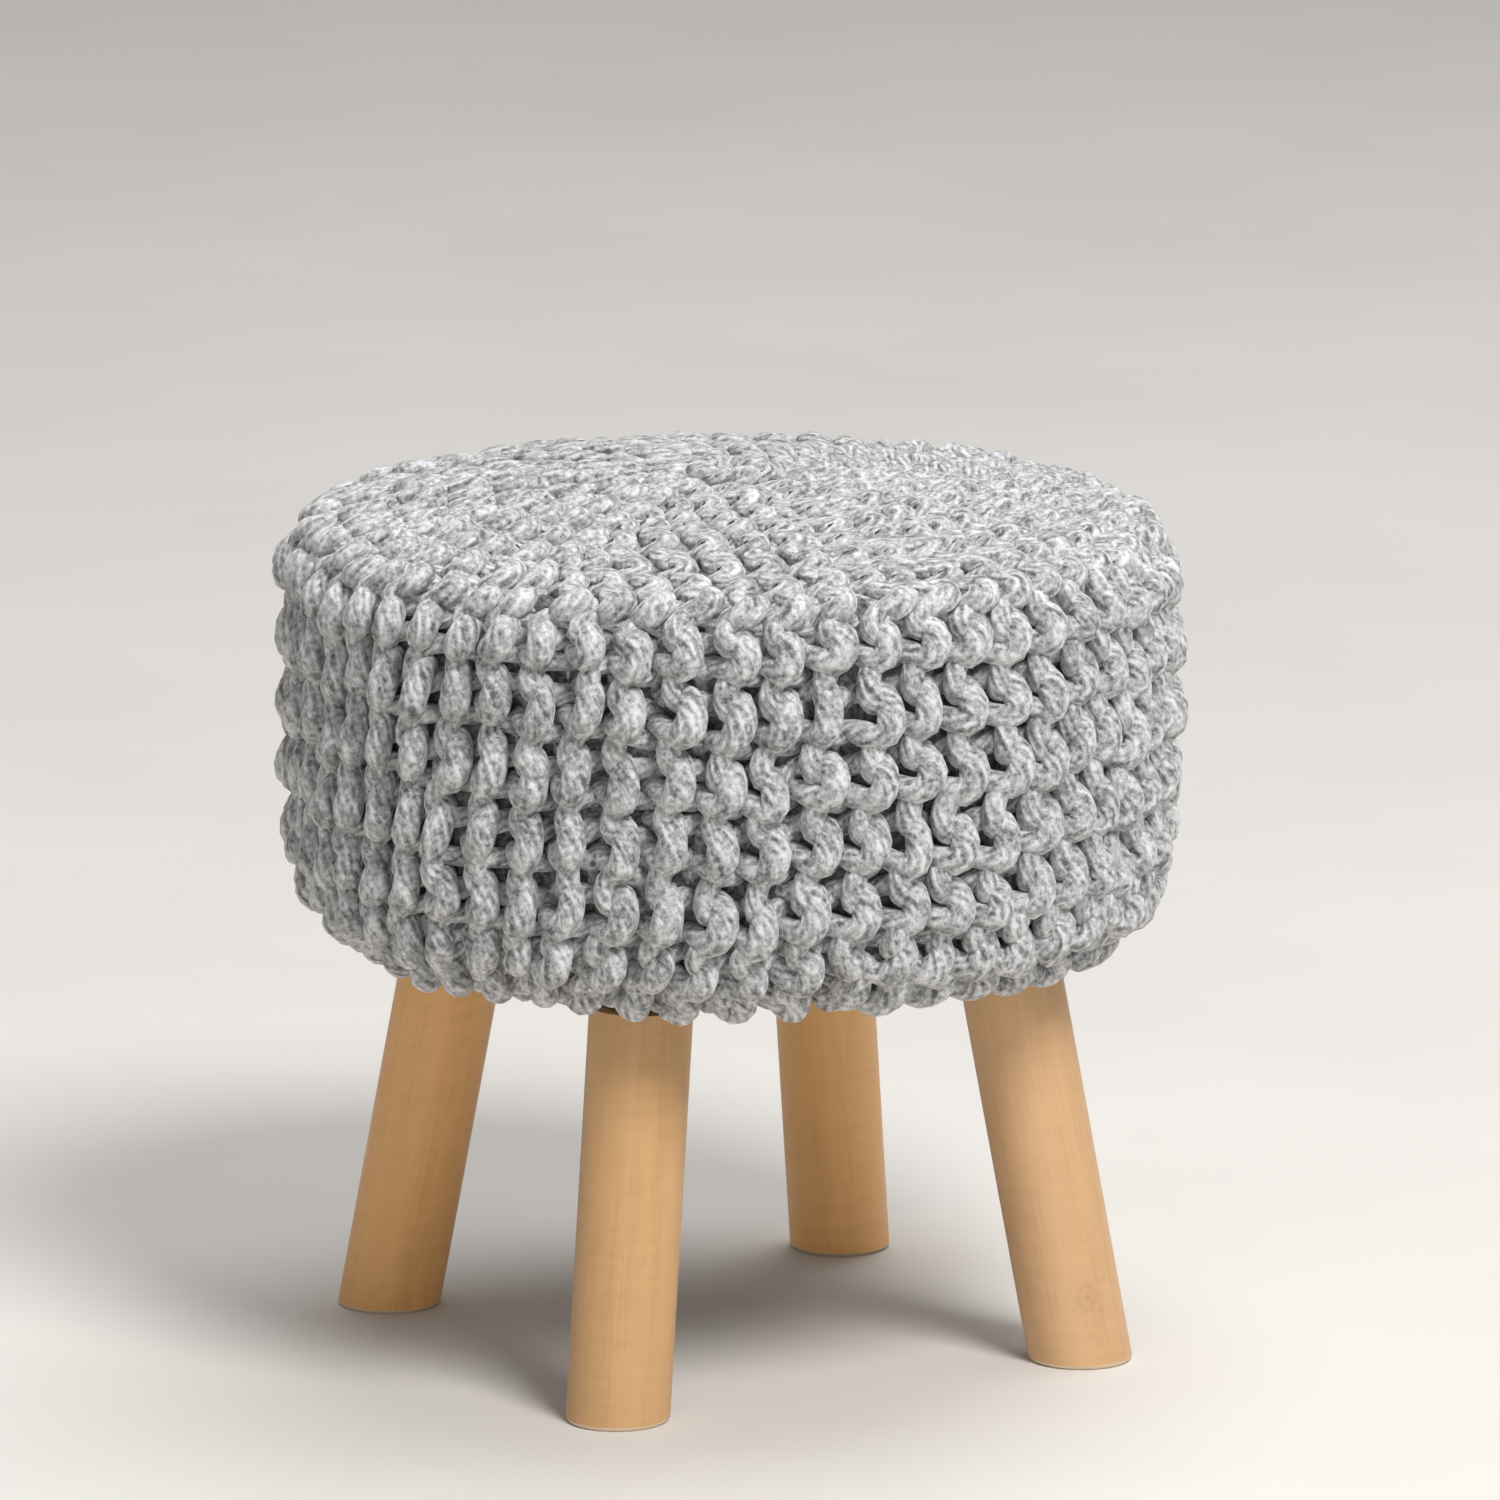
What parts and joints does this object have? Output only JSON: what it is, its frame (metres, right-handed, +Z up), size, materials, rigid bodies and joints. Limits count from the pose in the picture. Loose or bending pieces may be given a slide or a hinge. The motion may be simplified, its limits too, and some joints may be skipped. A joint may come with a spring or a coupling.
{
  "type": "knitted pouf stool with wooden legs",
  "caption": "Round knitted pouf stool: a filled, ribbed garter-knit seat on splayed round wooden legs.",
  "frame": {"origin": "on the floor, under the middle of the seat", "axes": "+Z up; the legs stand on the diagonals between X and Y, and the front is towards -Y"},
  "size_m": [0.3598, 0.3598, 0.3535],
  "materials": {
    "yarn": "soft matte heathered grey yarn",
    "wood": "pale oiled wood, satin"
  },
  "bodies": {
    "root": {"knitted_cover": "yarn", "leg_front_left": "wood", "leg_front_right": "wood", "leg_back_left": "wood", "leg_back_right": "wood"}
  },
  "joints": []
}
